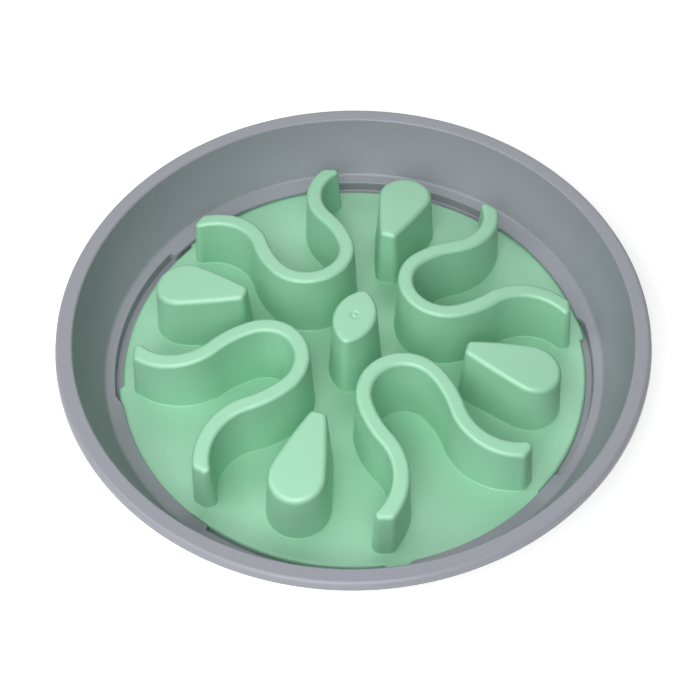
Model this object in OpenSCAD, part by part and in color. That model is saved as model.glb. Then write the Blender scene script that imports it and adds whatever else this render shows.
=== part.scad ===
/* [Bowl] */
// Diameter across the lip of the rim
bowl_d = 262; // [230:1:300]
// Height of the rim's top face above the table
rim_h = 41.5; // [38:0.5:60]
// Width of the rim's top face, from the wall to the lip
rim_w = 7; // [5:0.5:10]
// Drop of the turned-down lip below the rim's top face
lip_drop = 4.4; // [3.6:0.2:8]
// Flare of the lip beyond the rim's top face
lip_flare = 0.8; // [0.4:0.1:1.6]
// Run of the sloping wall, from the ledge out to the rim
wall_run = 10.6; // [8:0.2:14]
// Thickness of the wall, floor and lip
bowl_t = 2.4; // [1.8:0.1:3]
// Width of the sloping ledge at the foot of the wall
ledge_w = 4.4; // [3:0.2:6]
// Slope of the ledge, in degrees
ledge_pitch = 15.5; // [8:0.5:25]
// Radius of the inner wall's curve in section
wall_curve_r = 90; // [60:5:200]
// Radius of the round where the wall meets the ledge
wall_foot_r = 2.5; // [1:0.5:3]

/* [Twist lock] */
// Reach of each lug beyond the edge of the insert's disc
lug_reach = 2; // [1.4:0.1:3]
// Angle that one lug spans
lug_angle = 42.4; // [30:0.2:43]
// Angle that one catch of the bowl spans
catch_angle = 44.5; // [36:0.5:44.5]
// Turn of the catches, anticlockwise from the lugs at rest
catch_lead = 4.75; // [3:0.25:6]
// Thickness of a catch at its inner edge
catch_t = 1.9; // [1.4:0.1:3]
// Angle that the stop at the closed end of a catch spans
stop_angle = 2.4; // [1.5:0.1:3]
// Play between the disc's edge and the catches
catch_play = 0.5; // [0.3:0.1:1]
// Play between the lugs and the wall of the recess
lug_play = 1; // [0.5:0.1:1.5]
// Play between the top of a lug and its catch
lift_play = 0.3; // [0.2:0.05:0.6]

/* [Insert] */
// Thickness of the disc
disc_t = 2.5; // [2:0.1:3.5]
// Radius of the round on the disc's upper edge
disc_edge_r = 1.6; // [0.5:0.1:1.8]
// Distance from the disc's edge to the ends of the looped walls
maze_margin = 7.3; // [4:0.1:12]
// Height of the maze above the disc, at the centre
maze_h = 35.3; // [28:0.1:42]
// Fall of the maze's top from the centre to the ends of the walls
maze_fall = 10; // [4:0.5:14]
// Thickness of the looped walls at their top
loop_w = 6.8; // [5.6:0.1:8]
// Draft of the looped walls, in degrees
loop_draft = 2; // [0.5:0.25:3]
// Draft of the faces at the free ends of the looped walls, in degrees
end_draft = 4.5; // [0.5:0.5:6]
// Draft of the teardrops and of the centre post, in degrees
drop_draft = 3.5; // [0.5:0.25:4]
// Thickness of the insert's hollow walls
shell_t = 2; // [1.4:0.1:2.2]
// Diameter of the moulding mark on the centre post
gate_d = 4.6; // [3:0.1:6]
// Depth of the moulding marks
gate_sink = 0.4; // [0.2:0.1:0.8]

/* [Base] */
// Distance from the outside of the bowl's foot in to the middle of the foot ring
foot_inset = 17.1; // [15:0.1:40]
// Width of the foot ring
foot_ring_w = 3; // [2:0.5:6]
// Height of the foot ring below the floor
foot_ring_h = 3; // [2.6:0.1:8]
// Diameter of a rubber pad
pad_d = 16; // [10:0.5:24]
// Thickness of a rubber pad
pad_t = 3; // [2:0.1:4]
// Height by which a pad stands proud of the foot ring
pad_proud = 1.2; // [0.8:0.1:1.6]
// Play round a pad in its pocket
pad_play = 0.1; // [0.05:0.05:0.3]
// Thickness of the wall round a pad's pocket
pocket_wall = 3; // [2:0.5:5]

/* [Hidden] */
$fn = 96;

// One overrun serves every cut
over = 0.5;
// Step from one solid to its neighbour where two of them merge
seam = 0.02;
// Steps in one rounded corner of a section
corner_steps = 3;
// Steps in the curve of the wall's section
wall_steps = 5;
quarter = 90;
eighth = quarter / 2;
half_turn = 180;

// Heights, from the table up
stand_h = pad_proud + foot_ring_h;
floor_z = stand_h + bowl_t;
disc_z = floor_z + disc_t;
catch_z = disc_z + lift_play;
apex_z = disc_z + maze_h;

// Radii, from the lip in to the insert
lip_r = bowl_d / 2;
rim_out_r = lip_r - lip_flare;
rim_in_r = rim_out_r - rim_w;
ledge_r = rim_in_r - wall_run;
recess_r = ledge_r - ledge_w;
lug_r = recess_r - lug_play;
disc_r = lug_r - lug_reach;
catch_r = disc_r + catch_play;
pad_ring_r = recess_r + bowl_t - foot_inset;

// Heights of the sloping ledge
function pitch_rise(run) = run * tan(ledge_pitch);
catch_top_z = catch_z + catch_t;
recess_top_z = catch_top_z + pitch_rise(recess_r - catch_r);
ledge_z = recess_top_z + pitch_rise(ledge_w);

// Rounds of the bowl's section
rim_edge_r = bowl_t / 2;
lip_edge_r = bowl_t * 0.9;
small_r = bowl_t / 4;

// The maze's plan, as shares of its reach from the centre
maze_r = disc_r - maze_margin;
loop_base_share = 0.2855;
base_r_share = 0.179;
waist_r_share = 0.455;
flare_r_share = 0.256;
base_sweep = 78.5;
waist_sweep = 24;
flare_sweep = 95;
end_r_share = 0.988;
drop_tip_share = 0.566;
drop_end_share = 0.828;
drop_tip_r_share = 0.045;
drop_end_r_share = 0.1195;
drop_side_r_share = 2.5;
post_tip_share = 0.1175;
post_tip_r_share = 0.0347;
post_side_r_share = 0.178;
loops = 4;

// The top of the maze is part of a ball that passes through the ends of the walls
ball_r = (pow(maze_r, 2) + pow(maze_fall, 2)) / (2 * maze_fall);
loop_flare = tan(loop_draft);
end_flare = tan(end_draft);
drop_flare = tan(drop_draft);

pocket_d = pad_d + 2 * pad_play;
pocket_sink = pad_t - pad_proud;
boss_d = pocket_d + 2 * pocket_wall;

shell_grey = "#9a9ba1";
mint = "#8fd3ae";
pad_black = "#2b2c2e";

function unit(v) = v / norm(v);
function polar(r, a) = r * [cos(a), sin(a)];
function short_turn(a) = a - 2 * half_turn * round(a / (2 * half_turn));

// Points of the round of radius r that replaces corner k between a and b
function corner(a, k, b, r) =
    let (
        u = unit(a - k),
        v = unit(b - k),
        half = acos(u * v) / 2,
        centre = k + unit(u + v) * r / sin(half),
        from = k + u * r / tan(half) - centre,
        to = k + v * r / tan(half) - centre,
        start = atan2(from[1], from[0]),
        turn = short_turn(atan2(to[1], to[0]) - start)
    )
    [for (i = [0:corner_steps]) centre + polar(r, start + turn * i / corner_steps)];

// A closed outline from [x, y, radius] corners; a radius of 0 keeps a corner sharp
function outline(p) =
    [for (i = [0:len(p) - 1])
        let (
            a = p[(i + len(p) - 1) % len(p)],
            k = p[i],
            b = p[(i + 1) % len(p)]
        )
        each k[2] > 0
            ? corner([a[0], a[1]], [k[0], k[1]], [b[0], b[1]], k[2])
            : [[k[0], k[1]]]];

// Inner points of an arc of radius r from a to b, which bulges to the right of a to b
function bulge(a, b, r) =
    let (
        mid = (a + b) / 2,
        along = unit(b - a),
        out = [along[1], -along[0]],
        half = asin(norm(b - a) / (2 * r)),
        centre = mid - out * r * cos(half),
        start = atan2(out[1], out[0]) - half
    )
    [for (i = [1:wall_steps - 1])
        let (q = centre + polar(r, start + 2 * half * i / wall_steps))
        [q[0], q[1], 0]];

// The bowl's section: up the inside, over the rim, and down the outside
module bowl_section() {
    wall_foot = [ledge_r, ledge_z];
    wall_top = [rim_in_r, rim_h];
    lip_z = rim_h - lip_drop;
    under_rim_z = rim_h - bowl_t;
    lip_in_r = rim_out_r - bowl_t;
    polygon(outline([
        [0, floor_z, 0],
        [recess_r, floor_z, small_r],
        [recess_r, recess_top_z, small_r],
        [ledge_r, ledge_z, wall_foot_r],
        each bulge(wall_foot, wall_top, wall_curve_r),
        [rim_in_r, rim_h, rim_edge_r],
        [rim_out_r, rim_h, lip_edge_r],
        [lip_r, lip_z, small_r],
        [lip_r - bowl_t, lip_z, small_r],
        [lip_in_r, under_rim_z, small_r],
        [rim_in_r + bowl_t, under_rim_z, bowl_t],
        [ledge_r + bowl_t, ledge_z - bowl_t, bowl_t],
        [recess_r + bowl_t, catch_z, bowl_t],
        [recess_r + bowl_t, stand_h, bowl_t],
        [0, stand_h, 0]
    ]));
}

// One catch carries the ledge inwards over a lug, and its far end is closed by the stop
module catch_arc() {
    root_r = recess_r + 2 * small_r;
    rotate(-catch_angle / 2)
        rotate_extrude(angle = catch_angle)
            polygon([
                [catch_r, catch_z],
                [root_r, catch_z],
                [root_r, catch_top_z + pitch_rise(root_r - catch_r) + seam],
                [catch_r, catch_top_z + seam]
            ]);
    rotate(catch_angle / 2 - stop_angle - seam)
        rotate_extrude(angle = stop_angle)
            translate([catch_r + seam, floor_z - over])
                square([root_r - catch_r - over, catch_z + catch_t / 2 + over - floor_z]);
}

module foot_boss() {
    difference() {
        translate([pad_ring_r, 0, pad_proud])
            cylinder(h = foot_ring_h + over, d = boss_d);
        translate([pad_ring_r, 0, pad_proud - over])
            cylinder(h = pocket_sink + over, d = pocket_d);
    }
}

module foot_ring() {
    difference() {
        rotate_extrude()
            translate([pad_ring_r - foot_ring_w / 2, pad_proud])
                square([foot_ring_w, foot_ring_h + over]);
        for (i = [0:loops - 1])
            rotate(eighth + i * quarter)
                translate([pad_ring_r, 0, 0])
                    cylinder(h = stand_h + 2 * over, d = pocket_d + pocket_wall);
    }
}

module bowl() {
    color(shell_grey) {
        rotate_extrude()
            bowl_section();
        for (i = [0:loops - 1])
            rotate(i * quarter + catch_lead)
                catch_arc();
        foot_ring();
        for (i = [0:loops - 1])
            rotate(eighth + i * quarter)
                foot_boss();
    }
}

// Everything below the ball that forms the maze's top, or below one that lies drop lower
module under_dome(drop = 0) {
    translate([0, 0, apex_z - ball_r])
        sphere(r = ball_r - drop, $fn = 240);
}

// Half section of a drafted wall: w wide at the top, and wider below
function flank(w, flare) = [
    [w, apex_z],
    [w + flare * (apex_z - floor_z), floor_z]
];

// A drafted wall along an arc of radius r, with the lengths in cut taken off its two ends
module arc_wall(r, sweep, w, cut = [0, 0]) {
    turns = cut / r * half_turn / PI;
    rotate(turns[0])
        rotate_extrude(angle = sweep - turns[0] - turns[1])
            polygon([
                for (p = flank(w, loop_flare)) [r + p[0], p[1]],
                for (i = [1:-1:0]) let (p = flank(w, loop_flare)[i]) [r - p[0], p[1]]
            ]);
}

// A drafted cone of radius r at the top
module cone(r, flare) {
    height = apex_z - floor_z;
    translate([0, 0, floor_z])
        cylinder(h = height, r1 = r + flare * height, r2 = r);
}

// One looped wall, opening outwards along +X; w is half its width at the top
// Its arcs are parted by ribs of width rib; a cone trims its free ends, which lie back by end
module loop(w, rib = 0, end = 0) {
    base_r = base_r_share * maze_r;
    waist_r = waist_r_share * maze_r;
    flare_r = flare_r_share * maze_r;
    base_c = [loop_base_share * maze_r + base_r, 0];
    waist_c = base_c - polar(waist_r - base_r, half_turn - base_sweep);
    flare_c = waist_c + polar(waist_r + flare_r, half_turn - base_sweep - waist_sweep);
    part = [rib / 2, rib / 2];
    translate(base_c)
        rotate(half_turn - base_sweep)
            arc_wall(base_r, 2 * base_sweep, w, part);
    for (side = [0, 1])
        mirror([0, side, 0]) {
            translate(waist_c)
                rotate(half_turn - base_sweep - waist_sweep)
                    arc_wall(waist_r, waist_sweep, w - seam, part);
            intersection() {
                translate(flare_c)
                    rotate(-base_sweep - waist_sweep)
                        arc_wall(flare_r, flare_sweep, w, [rib / 2, end]);
                cone(end_r_share * maze_r - end, end_flare);
            }
        }
}

// A drafted block between two round ends, whose bowed sides have radius side_r
module blade(a, a_r, b, b_r, side_r, shrink = 0) {
    a_gap = side_r - a_r;
    b_gap = side_r - b_r;
    span = b - a;
    centre_x = a + (pow(span, 2) + pow(a_gap, 2) - pow(b_gap, 2)) / (2 * span);
    centre_y = sqrt(pow(a_gap, 2) - pow(centre_x - a, 2));
    from = atan2(centre_y, b - centre_x);
    to = atan2(centre_y, a - centre_x);
    height = apex_z - floor_z;
    out_r = side_r - shrink;
    translate([a, 0, 0])
        cone(a_r - shrink + seam, drop_flare);
    translate([b, 0, 0])
        cone(b_r - shrink + seam, drop_flare);
    for (side = [0, 1])
        mirror([0, side, 0])
            translate([centre_x, -centre_y, 0])
                rotate(from)
                    rotate_extrude(angle = to - from)
                        polygon([
                            [centre_y - over, floor_z],
                            [out_r + drop_flare * height, floor_z],
                            [out_r, apex_z],
                            [centre_y - over, apex_z]
                        ]);
}

module teardrop(shrink = 0) {
    blade(drop_tip_share * maze_r, drop_tip_r_share * maze_r,
        drop_end_share * maze_r, drop_end_r_share * maze_r,
        drop_side_r_share * maze_r, shrink);
}

module centre_post(shrink = 0) {
    blade(-post_tip_share * maze_r, post_tip_r_share * maze_r,
        post_tip_share * maze_r, post_tip_r_share * maze_r,
        post_side_r_share * maze_r, shrink);
}

module maze_walls() {
    intersection() {
        under_dome();
        union() {
            for (i = [0:loops - 1]) {
                rotate(i * quarter)
                    loop(loop_w / 2);
                rotate(eighth + i * quarter)
                    teardrop();
            }
            rotate(eighth)
                centre_post();
        }
    }
}

// The hollows under the walls, open at the bottom
module maze_hollows() {
    intersection() {
        under_dome(shell_t);
        translate([0, 0, -over])
            union() {
                for (i = [0:loops - 1]) {
                    rotate(i * quarter)
                        loop(loop_w / 2 - shell_t, shell_t, shell_t);
                    rotate(eighth + i * quarter)
                        teardrop(shell_t);
                }
                rotate(eighth)
                    centre_post(shell_t);
            }
    }
}

module disc_and_lugs() {
    rotate_extrude()
        polygon(outline([
            [0, floor_z, 0],
            [disc_r, floor_z, 0],
            [disc_r, disc_z, disc_edge_r],
            [0, disc_z, 0]
        ]));
    for (i = [0:loops - 1])
        rotate(i * quarter - lug_angle / 2)
            rotate_extrude(angle = lug_angle)
                translate([disc_r - lug_reach, floor_z + seam])
                    square([2 * lug_reach, disc_t - 2 * seam]);
}

module maze_insert() {
    color(mint)
        difference() {
            union() {
                disc_and_lugs();
                maze_walls();
            }
            maze_hollows();
            translate([0, 0, apex_z - gate_sink])
                cylinder(h = gate_sink + over, d = gate_d);
        }
}

module pad(turn) {
    color(pad_black)
        rotate(turn)
            translate([pad_ring_r, 0, 0])
                cylinder(h = pad_t, d = pad_d);
}

module pad_front_right() {
    pad(-eighth);
}

module pad_back_right() {
    pad(eighth);
}

module pad_back_left() {
    pad(eighth + quarter);
}

module pad_front_left() {
    pad(-eighth - quarter);
}

bowl();
maze_insert();
pad_front_right();
pad_back_right();
pad_back_left();
pad_front_left();
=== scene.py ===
"""Slow feeder bowl: a grey bowl on four rubber pads, with a mint maze insert that twists into it.

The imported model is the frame. The bowl, the insert and the pads are remodelled here at the same sizes,
with the rounds, fillets and moulding details that their solids leave out. Lengths are millimetres until
a mesh is made, and metres after that.
"""

from math import acos, asin, atan2, cos, degrees, pi, radians, sin, sqrt, tan

import bmesh
import bpy
from mathutils import Matrix, Vector
from mathutils.geometry import delaunay_2d_cdt


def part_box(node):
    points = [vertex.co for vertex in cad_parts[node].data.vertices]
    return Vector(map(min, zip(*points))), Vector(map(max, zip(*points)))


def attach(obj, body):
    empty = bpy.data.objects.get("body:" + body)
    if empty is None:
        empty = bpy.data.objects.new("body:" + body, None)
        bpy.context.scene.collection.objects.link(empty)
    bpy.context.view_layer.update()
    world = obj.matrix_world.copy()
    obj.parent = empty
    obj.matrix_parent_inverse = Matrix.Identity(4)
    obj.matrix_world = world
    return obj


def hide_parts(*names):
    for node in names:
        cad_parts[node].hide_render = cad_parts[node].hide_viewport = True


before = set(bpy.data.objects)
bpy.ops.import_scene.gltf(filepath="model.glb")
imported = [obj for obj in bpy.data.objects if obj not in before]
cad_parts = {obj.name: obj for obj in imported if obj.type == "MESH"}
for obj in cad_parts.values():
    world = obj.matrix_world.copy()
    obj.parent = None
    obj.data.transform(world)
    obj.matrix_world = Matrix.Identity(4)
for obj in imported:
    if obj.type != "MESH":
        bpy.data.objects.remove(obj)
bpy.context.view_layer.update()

MM = 0.001
QUARTERS = 4


# Sizes
def box_mm(node):
    low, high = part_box(node)
    return low / MM, high / MM


bowl_low, bowl_high = box_mm("bowl")
insert_low, insert_high = box_mm("maze_insert")
pad_low, pad_high = box_mm("pad_back_right")

# Heights
RIM_Z = bowl_high.z
RING_Z = bowl_low.z
FLOOR_Z = insert_low.z
APEX_Z = insert_high.z
BOWL_T = 2.4
STAND_Z = FLOOR_Z - BOWL_T
DISC_T = 2.5
DISC_Z = FLOOR_Z + DISC_T
LIFT_PLAY = 0.3
CATCH_T = 1.9
CATCH_Z = DISC_Z + LIFT_PLAY
CATCH_TOP_Z = CATCH_Z + CATCH_T

# Radii of the bowl
LIP_R = bowl_high.x
LIP_FLARE = 0.8
LIP_DROP = 4.4
RIM_OUT_R = LIP_R - LIP_FLARE
RIM_W = 7
RIM_IN_R = RIM_OUT_R - RIM_W
LUG_R = insert_high.x
LUG_REACH = 2
DISC_R = LUG_R - LUG_REACH
DISC_PLAY = 0.5
CATCH_R = DISC_R + DISC_PLAY
LUG_PLAY = 1
RECESS_R = LUG_R + LUG_PLAY
LEDGE_W = 4.4
LEDGE_R = RECESS_R + LEDGE_W
LEDGE_PITCH = tan(radians(15.5))
WALL_CURVE_R = 90

# Rounds of the bowl, along its section
RECESS_ROUND = 0.6
CATCH_ROUND = 0.35
CATCH_ROUND_SHARE = 0.4
# keeps a catch's two corners apart where it has faded out
CATCH_STEP = 0.03
LEDGE_ROUND = 0.55
WALL_FOOT_ROUND = 2.5
RIM_IN_ROUND = 1.2
RIM_OUT_ROUND = 2.16
LIP_ROUND = 0.7
LIP_IN_ROUND = 0.6
UNDER_ROUND = 2
UNDER_LEDGE_ROUND = 2.4
HEEL_ROUND = 2.2

# Twist lock, in degrees from the axis of each loop
LUG_HALF = 21.2
CATCH_FROM = -17.5
CATCH_TO = 27
STOP_ANGLE = 2.4
CATCH_EASE = 3.5
CATCH_END_EASE = 0.9
STOP_EASE = 0.5
LUG_EASE = 1.1

# Insert
MAZE_INSET = 7.3
MAZE_R = DISC_R - MAZE_INSET
MAZE_FALL = 10
BALL_R = (MAZE_R ** 2 + MAZE_FALL ** 2) / (2 * MAZE_FALL)
LOOP_HALF = 3.4
BASE_R = 0.179 * MAZE_R
WAIST_R = 0.455 * MAZE_R
FLARE_R = 0.256 * MAZE_R
BASE_X = 0.2855 * MAZE_R + BASE_R
BASE_SWEEP = 78.5
WAIST_SWEEP = 24
END_TURN = 27
END_REACH = 0.983 * MAZE_R
DROP_TIP_X = 51
DROP_TIP_HALF = 3.9
DROP_END_X = 0.828 * MAZE_R
DROP_END_R = 0.1195 * MAZE_R
DROP_SIDE_R = 2.5 * MAZE_R
POST_TIP_X = 0.1175 * MAZE_R
POST_TIP_R = 0.0347 * MAZE_R
POST_SIDE_R = 0.178 * MAZE_R
POST_TURN = radians(45)
LOOP_FLARE = tan(radians(2))
END_FLARE = tan(radians(4.5))
DROP_FLARE = tan(radians(3.5))
SHELL_T = 2
GATE_R = 2.3
LOOP_TOP_ROUND = 1.9
DROP_TOP_ROUND = 2.4
END_SHARP_ROUND = 1.7
END_BLUNT_ROUND = 2.6
TIP_ROUND = 2.2
FOOT_ROUND = 0.4
DISC_ROUND = 1.6
DISC_BEVEL = 0.3
# where a wall's middle rings lie, as shares of the way from its fillet to its rounded top
WALL_SHARES = (0.12, 0.4, 0.7, 0.92)

# Base
# how far the forms under the floor reach into it
SINK = 0.2
FOOT_RING_R = 93.5
FOOT_RING_W = 3
FOOT_RING_FILLET = 0.4
FOOT_RING_ROUND = 0.7
PAD_R = (pad_high.x - pad_low.x) / 2
PAD_X = (pad_high.x + pad_low.x) / 2
PAD_T = pad_high.z
POCKET_R = PAD_R + 0.1
POCKET_EDGE_ROUND = 0.4
POCKET_FLOOR_ROUND = 0.3
BOSS_R = POCKET_R + 3
BOSS_FILLET = 0.5
BOSS_ROUND = 0.8
EJECTORS = 8
EJECTOR_RING_R = 60

# Rounds and groove of the pads
PAD_GLUE = 0.01
PAD_TOP_ROUND = 0.3
PAD_EDGE_ROUND = 0.7
GROOVE_INSET = 1.6
GROOVE_W = 1.0
GROOVE_DEPTH = 0.25
GROOVE_SLOPE = 0.3
GROOVE_ROUND = 0.15

# Fineness of the meshes
CORNER_STEPS = 6
ARC_STEPS = 30
BLADE_SIDE_STEPS = 36
BLADE_END_STEPS = 24
FOOT_RING_STEPS = 48
# radius that stands for a point, and the distance within which points are joined
TIP_R = 1e-5
WELD = 2e-4


# Mesh helpers
def polar(radius, angle):
    """Point at an angle in radians."""
    return Vector((radius * cos(angle), radius * sin(angle)))


def turned(point, angle):
    """A plan point turned about the centre by an angle in radians."""
    c, s = cos(angle), sin(angle)
    return Vector((point.x * c - point.y * s, point.x * s + point.y * c))


def rounded(path):
    """Points of a path of (x, y, radius) corners, with each corner rounded."""
    points = []
    for k, (x, y, radius) in enumerate(path):
        corner = Vector((x, y))
        if not radius:
            points.append(corner)
            continue
        back = (Vector(path[k - 1][:2]) - corner).normalized()
        ahead = (Vector(path[k + 1][:2]) - corner).normalized()
        half = acos(max(-1, min(1, back.dot(ahead)))) / 2
        centre = corner + (back + ahead).normalized() * radius / sin(half)
        first = corner + back * radius / tan(half) - centre
        last = corner + ahead * radius / tan(half) - centre
        sweep = atan2(first.x * last.y - first.y * last.x, first.dot(last))
        points += [centre + turned(first, sweep * i / CORNER_STEPS) for i in range(CORNER_STEPS + 1)]
    return points


class Hole:
    """A closed outline in plan that tells which points lie inside it."""

    def __init__(self, outline):
        self.edges = list(zip(outline, outline[1:] + outline[:1]))
        self.low = [min(p[k] for p in outline) for k in range(2)]
        self.high = [max(p[k] for p in outline) for k in range(2)]

    def holds(self, point):
        if not all(self.low[k] < point[k] < self.high[k] for k in range(2)):
            return False
        crossings = 0
        for a, b in self.edges:
            if (a[1] > point.y) != (b[1] > point.y):
                slope = (b[0] - a[0]) / (b[1] - a[1])
                crossings += point.x < a[0] + (point.y - a[1]) * slope
        return crossings % 2 == 1


class Moulding:
    """Collects welded faces, in millimetres, and turns them into one object."""

    def __init__(self):
        self.bm = bmesh.new()

    def ring(self, points):
        return [self.bm.verts.new(p) for p in points]

    def strip(self, a, b, closed=True):
        count = len(a)
        for i in range(count if closed else count - 1):
            j = (i + 1) % count
            self.bm.faces.new((a[i], a[j], b[j], b[i]))

    def loft(self, rings, closed=True):
        made = [self.ring(r) for r in rings]
        for a, b in zip(made, made[1:]):
            self.strip(a, b, closed)
        return made

    def plate(self, outlines, z):
        """Flat faces at height z, inside the first outline and outside the others."""
        points, edges = [], []
        for outline in outlines:
            first = len(points)
            points += [Vector((p[0], p[1])) for p in outline]
            edges += [(first + i, first + (i + 1) % len(outline)) for i in range(len(outline))]
        inside_triangles, same_point = 1, 1e-5
        verts, _, faces = delaunay_2d_cdt(points, edges, [], inside_triangles, same_point)[:3]
        made = [self.bm.verts.new((v.x, v.y, z)) for v in verts]
        holes = [Hole(outline) for outline in outlines[1:]]
        for face in faces:
            middle = sum((verts[i] for i in face), Vector((0, 0))) / len(face)
            if not any(hole.holds(middle) for hole in holes):
                self.bm.faces.new([made[i] for i in face])

    def finish(self, name, material, body, replaced):
        bmesh.ops.remove_doubles(self.bm, verts=self.bm.verts, dist=WELD)
        bmesh.ops.recalc_face_normals(self.bm, faces=self.bm.faces)
        bmesh.ops.scale(self.bm, vec=(MM, MM, MM), verts=self.bm.verts)
        mesh = bpy.data.meshes.new(name)
        self.bm.to_mesh(mesh)
        self.bm.free()
        mesh.shade_smooth()
        mesh.materials.append(material)
        obj = bpy.data.objects.new(name, mesh)
        bpy.context.scene.collection.objects.link(obj)
        shading = obj.modifiers.new("flat_faces_stay_flat", "WEIGHTED_NORMAL")
        shading.weight = 100
        shading.keep_sharp = True
        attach(obj, body)
        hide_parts(replaced)


def ease(x):
    """0 below 0, 1 above 1, and a smooth curve between."""
    x = max(0, min(1, x))
    return x * x * (3 - 2 * x)


def window(angle, start, end, width, end_width):
    """1 between start and end, with a smooth step of the given width inside each. Degrees."""
    return ease((angle - start) / width) * ease((end - angle) / end_width)


def quarter_angle(angle):
    """Angle from the nearest loop's axis, in degrees."""
    return (angle + 45) % 90 - 45


def angles_with(fine_spans, coarse=1.5, fine=0.15):
    """Angles of a quarter turn in degrees, closer together in the given spans, for all four quarters."""
    marks = [-45.0]
    while marks[-1] < 45:
        here = marks[-1] + 1e-6
        step = fine if any(a <= here <= b for a, b in fine_spans) else coarse
        ahead = [a for a, _ in fine_spans if a > here]
        limit = min(ahead + [45.0])
        marks.append(min(marks[-1] + step, limit if step == coarse else 45.0))
    marks = marks[:-1]
    return [q * 90 + a for q in range(QUARTERS) for a in marks]


# Materials
MOTTLE_SCALE = 45
MOTTLE_SHARE = 0.025
GLOSS_SCALE = 120
GLOSS_BELOW = 0.05
GLOSS_ABOVE = 0.07
GRAIN_SCALE = 2600
GRAIN_STRENGTH = 0.5
WAVE_SCALE = 60
WAVE_STRENGTH = 0.25
WAVE_DEPTH = 0.0002
SUBSURFACE_RADIUS = (0.6, 1.0, 0.7)
SUBSURFACE_SCALE = 0.002


def noise(nodes, links, coords, scale, detail):
    tex = nodes.new("ShaderNodeTexNoise")
    tex.inputs["Scale"].default_value = scale
    tex.inputs["Detail"].default_value = detail
    links.new(coords, tex.inputs["Vector"])
    return tex


def plastic(name, colour, roughness, specular, ior=1.5, grain=0.00003, subsurface=0.0):
    """Satin moulded plastic: faint mottling, uneven gloss, slight waves and a fine spark-eroded grain.

    Noise scales are cells per metre, and the grain's and the waves' depths are metres.
    """
    mat = bpy.data.materials.new(name)
    mat.use_nodes = True
    nodes, links = mat.node_tree.nodes, mat.node_tree.links
    shader = nodes["Principled BSDF"]
    coords = nodes.new("ShaderNodeTexCoord").outputs["Object"]

    mottle = noise(nodes, links, coords, MOTTLE_SCALE, 3)
    tint = nodes.new("ShaderNodeMix")
    tint.data_type = "RGBA"
    tint.inputs[6].default_value = (*[c * (1 - MOTTLE_SHARE) for c in colour], 1)
    tint.inputs[7].default_value = (*[min(1, c * (1 + MOTTLE_SHARE)) for c in colour], 1)
    links.new(mottle.outputs["Fac"], tint.inputs[0])
    links.new(tint.outputs[2], shader.inputs["Base Color"])

    wear = noise(nodes, links, coords, GLOSS_SCALE, 4)
    gloss = nodes.new("ShaderNodeMapRange")
    gloss.inputs["To Min"].default_value = roughness - GLOSS_BELOW
    gloss.inputs["To Max"].default_value = roughness + GLOSS_ABOVE
    links.new(wear.outputs["Fac"], gloss.inputs["Value"])
    links.new(gloss.outputs["Result"], shader.inputs["Roughness"])

    fine = noise(nodes, links, coords, GRAIN_SCALE, 2)
    coarse = noise(nodes, links, coords, WAVE_SCALE, 2)
    wave = nodes.new("ShaderNodeBump")
    wave.inputs["Strength"].default_value = WAVE_STRENGTH
    wave.inputs["Distance"].default_value = WAVE_DEPTH
    links.new(coarse.outputs["Fac"], wave.inputs["Height"])
    bump = nodes.new("ShaderNodeBump")
    bump.inputs["Strength"].default_value = GRAIN_STRENGTH
    bump.inputs["Distance"].default_value = grain
    links.new(fine.outputs["Fac"], bump.inputs["Height"])
    links.new(wave.outputs["Normal"], bump.inputs["Normal"])
    links.new(bump.outputs["Normal"], shader.inputs["Normal"])

    shader.inputs["IOR"].default_value = ior
    shader.inputs["Specular IOR Level"].default_value = specular
    if subsurface:
        shader.inputs["Subsurface Weight"].default_value = subsurface
        shader.inputs["Subsurface Radius"].default_value = SUBSURFACE_RADIUS
        shader.inputs["Subsurface Scale"].default_value = SUBSURFACE_SCALE
    return mat


def rubber(name, colour):
    return plastic(name, colour, 0.72, specular=0.35, grain=0.00008)


SHELL_GREY = (0.274, 0.285, 0.321)
MINT = (0.272, 0.584, 0.378)
PAD_BLACK = (0.018, 0.018, 0.020)

grey_plastic = plastic("grey_satin_plastic", SHELL_GREY, 0.38, specular=0.5)
mint_plastic = plastic("mint_satin_plastic", MINT, 0.48, specular=0.9, ior=1.6, subsurface=0.12)
pad_rubber = rubber("black_rubber", PAD_BLACK)


# Bowl
def ledge_z(radius):
    """Height of the sloping ledge at a radius."""
    return CATCH_TOP_Z + (radius - CATCH_R) * LEDGE_PITCH


def bulge(a, b, radius, steps=10):
    """Inner points of an arc from a to b that bows outwards, to the right of a to b."""
    along = (b - a).normalized()
    out = Vector((along.y, -along.x))
    half = asin((b - a).length / (2 * radius))
    centre = (a + b) / 2 - out * radius * cos(half)
    start = atan2(out.y, out.x) - half
    return [(*(centre + polar(radius, start + 2 * half * i / steps)), 0) for i in range(1, steps)]


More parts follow.
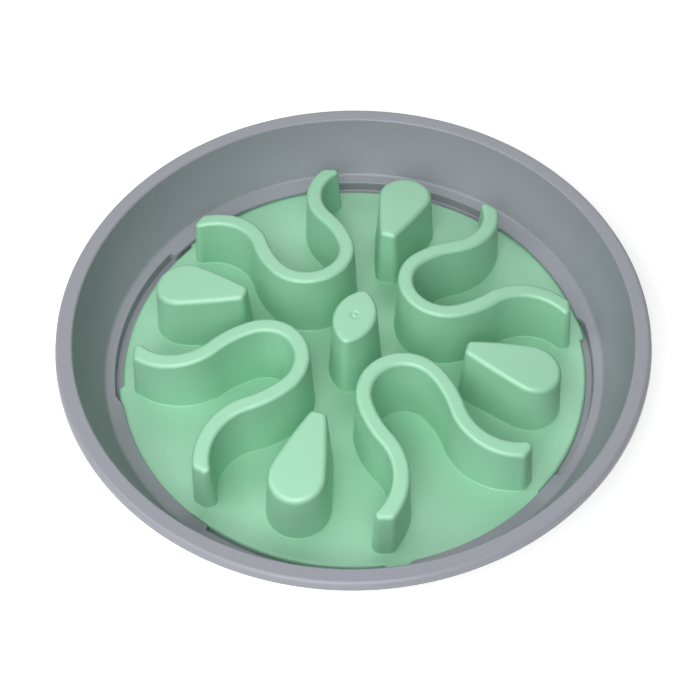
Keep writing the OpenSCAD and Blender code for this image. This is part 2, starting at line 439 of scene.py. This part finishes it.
def bowl_section(low, high):
    """The bowl cut from its axis to its lip and back: low is the recess's radius, high the catch's."""
    soft = min(CATCH_ROUND, (low - high) * CATCH_ROUND_SHARE)
    lip_z = RIM_Z - LIP_DROP
    under_z = RIM_Z - BOWL_T
    foot = Vector((LEDGE_R, ledge_z(LEDGE_R)))
    top = Vector((RIM_IN_R, RIM_Z))
    return rounded([
        (0, FLOOR_Z, 0),
        (RECESS_R / 2, FLOOR_Z, 0),
        (low, FLOOR_Z, RECESS_ROUND),
        (low, CATCH_Z, soft),
        (high, CATCH_Z, soft),
        (high, ledge_z(high), LEDGE_ROUND),
        (LEDGE_R, foot.y, WALL_FOOT_ROUND),
        *bulge(foot, top, WALL_CURVE_R),
        (RIM_IN_R, RIM_Z, RIM_IN_ROUND),
        (RIM_OUT_R, RIM_Z, RIM_OUT_ROUND),
        (LIP_R, lip_z, LIP_ROUND),
        (LIP_R - BOWL_T, lip_z, LIP_ROUND),
        (RIM_OUT_R - BOWL_T, under_z, LIP_IN_ROUND),
        (RIM_IN_R + BOWL_T, under_z, UNDER_ROUND),
        (LEDGE_R + BOWL_T, foot.y - BOWL_T, UNDER_LEDGE_ROUND),
        (RECESS_R + BOWL_T, CATCH_Z, UNDER_ROUND),
        (RECESS_R + BOWL_T, STAND_Z, HEEL_ROUND),
        (FOOT_RING_R + FOOT_RING_W, STAND_Z, 0),
        (FOOT_RING_R / 2, STAND_Z, 0),
        (0, STAND_Z, 0),
    ])


def bowl_shell(shell):
    """The dish with its four catches and their stops: its section, swept about the axis."""
    stop_from = CATCH_TO - STOP_ANGLE - STOP_EASE
    spans = [(CATCH_FROM, CATCH_FROM + CATCH_EASE), (stop_from, CATCH_TO + STOP_EASE)]
    rings = []
    for angle in angles_with(spans):
        a = quarter_angle(angle)
        caught = window(a, CATCH_FROM, CATCH_TO, CATCH_EASE, CATCH_END_EASE)
        stopped = window(a, stop_from, CATCH_TO, STOP_EASE, STOP_EASE)
        high = RECESS_R - (RECESS_R - CATCH_R) * caught
        low = max(RECESS_R - (RECESS_R - CATCH_R) * stopped, high) + CATCH_STEP
        rings.append([(*polar(p.x, radians(angle)), p.y) for p in bowl_section(low, high)])
    rings.append(rings[0])
    shell.loft(rings, closed=False)


def foot_ring(shell):
    """Four arcs of the foot ring, from one boss to the next."""
    into_boss = (POCKET_R + BOSS_R) / 2
    gap = 2 * asin(into_boss / 2 / FOOT_RING_R)
    sweep = pi / 2 - 2 * gap
    half = FOOT_RING_W / 2
    section = rounded([
        (FOOT_RING_R + half + FOOT_RING_FILLET, STAND_Z + SINK, 0),
        (FOOT_RING_R + half, STAND_Z - FOOT_RING_FILLET, 0),
        (FOOT_RING_R + half, RING_Z, FOOT_RING_ROUND),
        (FOOT_RING_R - half, RING_Z, FOOT_RING_ROUND),
        (FOOT_RING_R - half, STAND_Z - FOOT_RING_FILLET, 0),
        (FOOT_RING_R - half - FOOT_RING_FILLET, STAND_Z + SINK, 0),
    ])
    for q in range(QUARTERS):
        start = radians(45 + q * 90) + gap
        rings = shell.loft([
            [(*polar(p.x, start + sweep * i / FOOT_RING_STEPS), p.y) for p in section]
            for i in range(FOOT_RING_STEPS + 1)
        ])
        shell.bm.faces.new(rings[0])
        shell.bm.faces.new(rings[-1])


def lathe(shell, section, centre=(0, 0), steps=64):
    """Turns a section about a vertical line; a point on the line becomes a closed tip."""
    turns = [2 * pi * i / steps for i in range(steps)]
    shell.loft([
        [(centre[0] + r * cos(turn), centre[1] + r * sin(turn), z) for turn in turns]
        for r, z in [(max(p[0], TIP_R), p[1]) for p in section]
    ])


def pad_places():
    """Places of the pads, anticlockwise from the one where x and y are positive."""
    return [turned(Vector((PAD_X, PAD_X)), radians(90 * q)) for q in range(QUARTERS)]


def bosses(shell):
    """The four round bosses under the floor, each with a pocket for its pad."""
    section = rounded([
        (0, STAND_Z + SINK, 0),
        (BOSS_R + BOSS_FILLET, STAND_Z + SINK, 0),
        (BOSS_R, STAND_Z - BOSS_FILLET, 0),
        (BOSS_R, RING_Z, BOSS_ROUND),
        (POCKET_R, RING_Z, POCKET_EDGE_ROUND),
        (POCKET_R, PAD_T, POCKET_FLOOR_ROUND),
        (0, PAD_T, 0),
    ])
    for place in pad_places():
        lathe(shell, section, place)


def under_floor(corners):
    """A rounded section from (radius, depth, round) corners, with depths below the floor's underside."""
    return rounded([(radius, STAND_Z - depth, round_r) for radius, depth, round_r in corners])


def moulding_marks(shell):
    """Under the floor: the gate's stub in the middle, and a ring of ejector marks."""
    stub = under_floor([
        (0, -0.1, 0),
        (4.2, -0.1, 0),
        (4.0, 0.25, 0.1),
        (1.6, 0.25, 0.2),
        (1.4, 0.7, 0.2),
        (0, 0.7, 0),
    ])
    lathe(shell, stub, steps=48)
    mark = under_floor([
        (3.1, -0.1, 0),
        (3.0, 0.15, 0.08),
        (2.7, 0.15, 0.08),
        (2.6, -0.1, 0),
    ])
    for i in range(EJECTORS):
        place = polar(EJECTOR_RING_R, radians(360 / EJECTORS * (i + 0.5)))
        lathe(shell, mark + mark[:1], place, steps=32)


def make_bowl():
    shell = Moulding()
    bowl_shell(shell)
    foot_ring(shell)
    bosses(shell)
    moulding_marks(shell)
    shell.finish("bowl_moulding", grey_plastic, "bowl", "bowl")


# Insert
def dome(point, drop=0):
    """Height of the ball that tops the maze, over a plan point."""
    return APEX_Z - BALL_R + sqrt((BALL_R - drop) ** 2 - point[0] ** 2 - point[1] ** 2)


def loop_arcs():
    """The arcs of half a looped wall that opens along +X, from its base's middle to its free end.

    Each is (centre, radius, start, end, side), with angles in degrees. An end of None is at the end face,
    and side is 1 where the centre lies on the mouth's side.
    """
    joint = 180 - BASE_SWEEP
    foot = joint - WAIST_SWEEP
    base_c = Vector((BASE_X, 0))
    waist_c = base_c - polar(WAIST_R - BASE_R, radians(joint))
    flare_c = waist_c + polar(WAIST_R + FLARE_R, radians(foot))
    return [
        (base_c, BASE_R, 180, joint, 1),
        (waist_c, WAIST_R, joint, foot, 1),
        (flare_c, FLARE_R, foot - 180, None, -1),
    ]


def end_angle(centre, radius, inset):
    """Angle in degrees at which a circle meets the slanting end face, or a line inset from it."""
    reach = END_REACH - inset - centre.dot(polar(1, radians(END_TURN)))
    return END_TURN - degrees(acos(reach / radius))


def arc(centre, radius, start, end, inward, steps):
    """Points and normals along an arc; the normals point to its centre if inward is set. Degrees."""
    out = []
    for i in range(steps + 1):
        n = polar(1, radians(start + (end - start) * i / steps))
        out.append((centre + n * radius, -n if inward else n))
    return out


def flipped(outline):
    """The mirror image in the X axis, from end to start."""
    return [(Vector((p.x, -p.y)), Vector((n.x, -n.y)), *rest) for p, n, *rest in reversed(outline)]


def leaning(outline, lean):
    return [(p, n, lean) for p, n in outline]


def loop_side(mouth):
    """One flank of half a looped wall, on the mouth's side or the other, with its rounded end corner.

    Each of its points is (point, outward normal, lean), where lean is the tangent of the draft.
    """
    out = []
    corner_r = END_BLUNT_ROUND if mouth else END_SHARP_ROUND
    for centre, radius, start, end, side in loop_arcs():
        inward = (side == 1) == mouth
        flank = radius - LOOP_HALF if inward else radius + LOOP_HALF
        if end is None:
            inset = flank + corner_r if inward else flank - corner_r
            end = end_angle(centre, inset, corner_r)
            corner = centre + polar(inset, radians(end))
        out += arc(centre, flank, start, end, inward, ARC_STEPS)[1 if out else 0:]
    out = leaning(out, LOOP_FLARE)
    first = degrees(atan2(*out[-1][1].yx))
    sweep = (END_TURN - first + 180) % 360 - 180
    for i, (p, n) in enumerate(arc(corner, corner_r, first, first + sweep, False, CORNER_STEPS)[1:], 1):
        out.append((p, n, LOOP_FLARE + (END_FLARE - LOOP_FLARE) * i / CORNER_STEPS))
    return out


def loop_outline():
    """Outline of a looped wall's top: out along one side, and back along the other."""
    mouth, far = loop_side(True), loop_side(False)
    return flipped(mouth) + mouth[1:] + (flipped(far) + far[1:])[::-1]


def blade_outline(tip, tip_half, tip_round, end, end_r, side_r, both_ends=False):
    """Outline of a teardrop along +X, or of a leaf if both ends are tips, as (point, outward normal)."""
    # the bowed side touches a small corner circle at the tip and the circle at the other end
    a_gap, b_gap = side_r - tip_round, side_r - end_r
    corner = Vector((tip, tip_half - tip_round))
    other = Vector((end, tip_half - tip_round if both_ends else 0))
    span = (other - corner).length
    along = (other - corner).normalized()
    reach = (span ** 2 + a_gap ** 2 - b_gap ** 2) / (2 * span)
    across = sqrt(a_gap ** 2 - reach ** 2)
    right = Vector((along.y, -along.x))
    centre = corner + along * reach + right * across
    angle_a = atan2(*(corner - centre).yx)
    angle_b = atan2(*(other - centre).yx)
    half = []
    for i in range(CORNER_STEPS + 1):
        n = polar(1, pi + (angle_a - pi) * i / CORNER_STEPS)
        half.append((corner + n * tip_round, n))
    for i in range(1, BLADE_SIDE_STEPS):
        n = polar(1, angle_a + (angle_b - angle_a) * i / BLADE_SIDE_STEPS)
        half.append((centre + n * side_r, n))
    steps = CORNER_STEPS if both_ends else BLADE_END_STEPS
    for i in range(steps + 1 if both_ends else steps):
        n = polar(1, angle_b - angle_b * i / steps)
        half.append((other + n * end_r, n))
    return leaning(half + flipped(half), DROP_FLARE)


def slots():
    """Outlines of the hollows under one looped wall, one for each of its arcs."""
    core = LOOP_HALF - SHELL_T
    found = []
    for centre, radius, start, end, side in loop_arcs():
        rib = degrees(SHELL_T / 2 / radius)
        flanks = []
        for offset in (core, -core):
            if end is None:
                span = (start + rib, end_angle(centre, radius + offset, SHELL_T))
            elif start == 180:
                span = (end + rib, 2 * start - end - rib)
            else:
                span = (end + rib, start - rib)
            flank = arc(centre, radius + offset, *span, offset < 0, ARC_STEPS)
            flanks.append(leaning(flank, LOOP_FLARE))
        slot = flanks[0] + flanks[1][::-1]
        found.append(slot)
        if start != 180:
            found.append(flipped(slot))
    return found


def turn_outline(outline, angle):
    return [(turned(p, angle), turned(n, angle), lean) for p, n, lean in outline]


def wall_rings(outline, top_round):
    """Rings from the disc up to the inner edge of a wall's rounded top."""
    rings = []
    for i in range(CORNER_STEPS + 1):
        turn = pi / 2 * i / CORNER_STEPS
        z = DISC_Z + FOOT_ROUND * (1 - cos(turn))
        ring = []
        for p, n, lean in outline:
            offset = lean * (APEX_Z - DISC_Z - FOOT_ROUND) + FOOT_ROUND * (1 - sin(turn))
            ring.append((*(p + n * offset), z))
        rings.append(ring)
    for share in WALL_SHARES:
        ring = []
        for p, n, lean in outline:
            top = dome(p) - top_round
            z = DISC_Z + FOOT_ROUND + (top - DISC_Z - FOOT_ROUND) * share
            ring.append((*(p + n * lean * (APEX_Z - z)), z))
        rings.append(ring)
    for i in range(CORNER_STEPS + 1):
        turn = pi / 2 * i / CORNER_STEPS
        ring = []
        for p, n, lean in outline:
            side = lean * (APEX_Z - dome(p) + top_round)
            q = p + n * (side - top_round * (1 - cos(turn)))
            ring.append((*q, dome(q) - top_round * (1 - sin(turn))))
        rings.append(ring)
    return rings


def cap_ladder(part, ring, drop=0, steps=4):
    """Closes a long ring, whose point i faces point -1 - i, with rungs that follow the dome.

    The first and the last rung are edges of the ring itself, so they get no points between.
    """
    last = len(ring) // 2 - 1
    rungs = []
    for i in range(last + 1):
        a, b = Vector(ring[i][:2]), Vector(ring[-1 - i][:2])
        between = [a.lerp(b, k / steps) for k in range(1, steps)] if 0 < i < last else []
        rungs.append(part.ring([ring[i], *[(*q, dome(q, drop)) for q in between], ring[-1 - i]]))
    for a, b in zip(rungs, rungs[1:]):
        if len(a) == len(b):
            part.strip(a, b, closed=False)
        else:
            part.bm.faces.new(a + b[::-1])


def cap_round(part, ring, centre, hole=0.0, steps=6):
    """Closes a ring with rings that shrink to a round hole, or to a point, and follow the dome."""
    rings = [ring]
    for k in range(1, steps + 1):
        inner = []
        for p in ring:
            q = Vector(p[:2])
            target = centre + (q - centre).normalized() * max(hole, TIP_R)
            q = q.lerp(target, k / steps)
            inner.append((*q, dome(q)))
        rings.append(inner)
    part.loft(rings)


def gate_mark(part, ring_angles):
    """The sunk round left by the mould's gate, with its broken stub in the middle."""
    edge = [(0, 0), (0.1, 0.03), (0.2, 0.12), (0.35, 0.28), (0.6, 0.34)]
    stub = [(0.95, 0.34), (0.8, 0.28), (0.65, 0.1), (0.5, 0.04), (0.25, 0.08), (TIP_R, 0.1)]
    section = [(GATE_R - inset, depth) for inset, depth in edge] + stub
    top = dome((GATE_R, 0))
    part.loft([[(*polar(r, a), top - depth) for a in ring_angles] for r, depth in section])


def disc_outline(inset=0.0):
    """Plan outline of the disc with its four lugs."""
    spans = [(-LUG_HALF, -LUG_HALF + LUG_EASE), (LUG_HALF - LUG_EASE, LUG_HALF)]
    out = []
    for angle in angles_with(spans, coarse=1.0, fine=0.1):
        reach = LUG_REACH * window(quarter_angle(angle), -LUG_HALF, LUG_HALF, LUG_EASE, LUG_EASE)
        out.append(polar(DISC_R + reach - inset, radians(angle)))
    return out


def teardrop_outline():
    tip = DROP_TIP_X + TIP_ROUND
    return blade_outline(tip, DROP_TIP_HALF, TIP_ROUND, DROP_END_X, DROP_END_R, DROP_SIDE_R)


def post_outline():
    tip, end, tip_r = -POST_TIP_X, POST_TIP_X, POST_TIP_R
    return blade_outline(tip, tip_r, tip_r, end, tip_r, POST_SIDE_R, both_ends=True)


def shrunk(outline):
    return [(p - n * SHELL_T, n, lean) for p, n, lean in outline]


def pockets():
    """Outlines of the hollows under the walls."""
    found = [turn_outline(shrunk(post_outline()), POST_TURN)]
    for q in range(QUARTERS):
        found += [turn_outline(slot, radians(90 * q)) for slot in slots()]
        found.append(turn_outline(shrunk(teardrop_outline()), radians(45 + 90 * q)))
    return found


def wall(part, outline, top_round):
    """A wall of the maze, without its cap; returns its foot and its upper edge."""
    rings = wall_rings(outline, top_round)
    part.loft(rings)
    return rings[0], rings[-1]


def loop_wall(part, turn):
    foot, top = wall(part, turn_outline(loop_outline(), turn), LOOP_TOP_ROUND)
    cap_ladder(part, top)
    return foot


def teardrop(part, turn):
    foot, top = wall(part, turn_outline(teardrop_outline(), turn), DROP_TOP_ROUND)
    cap_round(part, top, polar(DROP_END_X, turn))
    return foot


def post(part):
    foot, top = wall(part, turn_outline(post_outline(), POST_TURN), LOOP_TOP_ROUND)
    cap_round(part, top, Vector((0, 0)), hole=GATE_R)
    gate_mark(part, [atan2(p[1], p[0]) for p in top])
    return foot


def disc_edge(part):
    """The disc's rounded edge with its lugs; returns the outlines of the disc's top and underside."""
    rings = []
    for i in range(CORNER_STEPS + 1):
        turn = pi / 2 * i / CORNER_STEPS
        z = DISC_Z - DISC_ROUND * (1 - cos(turn))
        rings.append([(*p, z) for p in disc_outline(DISC_ROUND * (1 - sin(turn)))])
    rings.append([(*p, FLOOR_Z + DISC_BEVEL) for p in disc_outline()])
    rings.append([(*p, FLOOR_Z) for p in disc_outline(DISC_BEVEL)])
    part.loft(rings)
    return rings[0], rings[-1]


def hollow(part, outline):
    """A hollow, from its mouth in the disc's underside to its ceiling; returns the mouth."""
    mouth = [(*(p + n * lean * (APEX_Z - FLOOR_Z)), FLOOR_Z) for p, n, lean in outline]
    ceiling = [(*p, dome(p, SHELL_T)) for p, _, _ in outline]
    part.loft([mouth, ceiling])
    cap_ladder(part, ceiling, drop=SHELL_T)
    return mouth


def make_insert():
    part = Moulding()
    feet = []
    for q in range(QUARTERS):
        feet.append(loop_wall(part, radians(90 * q)))
        feet.append(teardrop(part, radians(45 + 90 * q)))
    feet.append(post(part))
    top, underside = disc_edge(part)
    part.plate([top] + feet, DISC_Z)
    mouths = [hollow(part, outline) for outline in pockets()]
    part.plate([underside] + mouths, FLOOR_Z)
    part.finish("insert_moulding", mint_plastic, "insert", "maze_insert")


# Pads
def make_pad(node, place):
    """A round pad with a shallow groove in the face that it stands on."""
    pad = Moulding()
    outer = PAD_R - GROOVE_INSET
    inner = outer - GROOVE_W
    section = rounded([
        (0, PAD_T - PAD_GLUE, 0),
        (PAD_R, PAD_T - PAD_GLUE, PAD_TOP_ROUND),
        (PAD_R, 0, PAD_EDGE_ROUND),
        (outer, 0, GROOVE_ROUND),
        (outer - GROOVE_SLOPE, GROOVE_DEPTH, GROOVE_ROUND),
        (inner + GROOVE_SLOPE, GROOVE_DEPTH, GROOVE_ROUND),
        (inner, 0, GROOVE_ROUND),
        (0, 0, 0),
    ])
    lathe(pad, section, place)
    pad.finish(node + "_rubber", pad_rubber, "bowl", node)


# Room
FLOOR_HALF = 1.0
FLOOR_GREY = 0.8
FLOOR_GLOW = 0.50
WORLD_SEEN = 1.0
WORLD_LIGHT = 0.06


def make_floor():
    """A matt floor that keeps the object's shadow, and glows only where it is seen."""
    mesh = bpy.data.meshes.new("floor")
    corners = [(-FLOOR_HALF, -FLOOR_HALF, 0), (FLOOR_HALF, -FLOOR_HALF, 0),
               (FLOOR_HALF, FLOOR_HALF, 0), (-FLOOR_HALF, FLOOR_HALF, 0)]
    mesh.from_pydata(corners, [], [(0, 1, 2, 3)])
    obj = bpy.data.objects.new("floor", mesh)
    bpy.context.scene.collection.objects.link(obj)

    mat = bpy.data.materials.new("floor_paper")
    mat.use_nodes = True
    nodes, links = mat.node_tree.nodes, mat.node_tree.links
    shader = nodes["Principled BSDF"]
    shader.inputs["Base Color"].default_value = (FLOOR_GREY, FLOOR_GREY, FLOOR_GREY, 1)
    shader.inputs["Roughness"].default_value = 0.9
    shader.inputs["Emission Color"].default_value = (1, 1, 1, 1)
    glow = nodes.new("ShaderNodeMath")
    glow.operation = "MULTIPLY"
    glow.inputs[1].default_value = FLOOR_GLOW
    links.new(white_where_seen(nodes, links), glow.inputs[0])
    links.new(glow.outputs[0], shader.inputs["Emission Strength"])
    mesh.materials.append(mat)


def white_where_seen(nodes, links):
    """1 for rays from the camera, from gloss or through glass."""
    path = nodes.new("ShaderNodeLightPath")
    seen = path.outputs["Is Camera Ray"]
    for kind in ("Is Glossy Ray", "Is Transmission Ray"):
        either = nodes.new("ShaderNodeMath")
        either.operation = "MAXIMUM"
        links.new(seen, either.inputs[0])
        links.new(path.outputs[kind], either.inputs[1])
        seen = either.outputs[0]
    return seen


def make_world():
    """White where it is seen, and a faint light on the object."""
    world = bpy.data.worlds.new("studio")
    bpy.context.scene.world = world
    world.use_nodes = True
    nodes, links = world.node_tree.nodes, world.node_tree.links
    background = nodes["Background"]
    background.inputs["Color"].default_value = (1, 1, 1, 1)
    mix = nodes.new("ShaderNodeMix")
    mix.data_type = "FLOAT"
    mix.inputs[2].default_value = WORLD_LIGHT
    mix.inputs[3].default_value = WORLD_SEEN
    links.new(white_where_seen(nodes, links), mix.inputs[0])
    links.new(mix.outputs[0], background.inputs["Strength"])


def softbox(name, place, size, watts, target=(0, 0, 0.02)):
    light = bpy.data.lights.new(name, "AREA")
    light.shape = "RECTANGLE"
    light.size, light.size_y = size
    light.energy = watts
    obj = bpy.data.objects.new(name, light)
    obj.location = place
    obj.rotation_euler = (Vector(target) - Vector(place)).to_track_quat("-Z", "Y").to_euler()
    bpy.context.scene.collection.objects.link(obj)


# Camera
IMAGE = 700
FOCAL_PX = 1550.7
AXIS_PX = (400, 300)
TILT = radians(51.64)
ROLL = radians(1.61)
HEADING = radians(-30.11)
LOOK = Vector((22.56, -0.16, RIM_Z)) * MM
DISTANCE = 0.6886


def make_camera():
    data = bpy.data.cameras.new("camera")
    data.sensor_width = 36
    data.lens = FOCAL_PX / IMAGE * data.sensor_width
    data.shift_x = (IMAGE / 2 - AXIS_PX[0]) / IMAGE
    data.shift_y = (AXIS_PX[1] - IMAGE / 2) / IMAGE
    forward = Vector((0, cos(TILT), -sin(TILT)))
    right = Vector((1, 0, 0))
    up = right.cross(forward)
    right, up = right * cos(ROLL) + up * sin(ROLL), up * cos(ROLL) - right * sin(ROLL)
    turn = Matrix.Rotation(HEADING, 3, "Z")
    x, y, z = turn @ right, turn @ up, turn @ -forward
    place = LOOK + z * DISTANCE
    obj = bpy.data.objects.new("camera", data)
    obj.matrix_world = Matrix((
        (x.x, y.x, z.x, place.x),
        (x.y, y.y, z.y, place.y),
        (x.z, y.z, z.z, place.z),
        (0, 0, 0, 1),
    ))
    bpy.context.scene.collection.objects.link(obj)
    bpy.context.scene.camera = obj


def seen_from_camera(right, up, back):
    """A place given by the photograph's right, up and towards the viewer, in metres."""
    turn = Matrix.Rotation(HEADING, 3, "Z")
    return turn @ Vector((right, -back, up))


# Build
make_camera()
make_bowl()
make_insert()
pad_nodes = ["pad_back_right", "pad_back_left", "pad_front_left", "pad_front_right"]
for pad_node, pad_place in zip(pad_nodes, pad_places()):
    make_pad(pad_node, pad_place)
make_floor()
make_world()
softbox("key", seen_from_camera(-0.9, 1.1, 0.3), (0.9, 0.9), 7.5)
softbox("front", seen_from_camera(0.0, 1.2, 0.8), (0.9, 0.9), 11)
softbox("fill", seen_from_camera(-0.35, 0.85, 1.15), (0.9, 0.9), 7.5)
softbox("sheen", seen_from_camera(0.0, 1.15, -0.95), (1.0, 0.8), 3.5)

bpy.context.scene.view_settings.view_transform = "Standard"
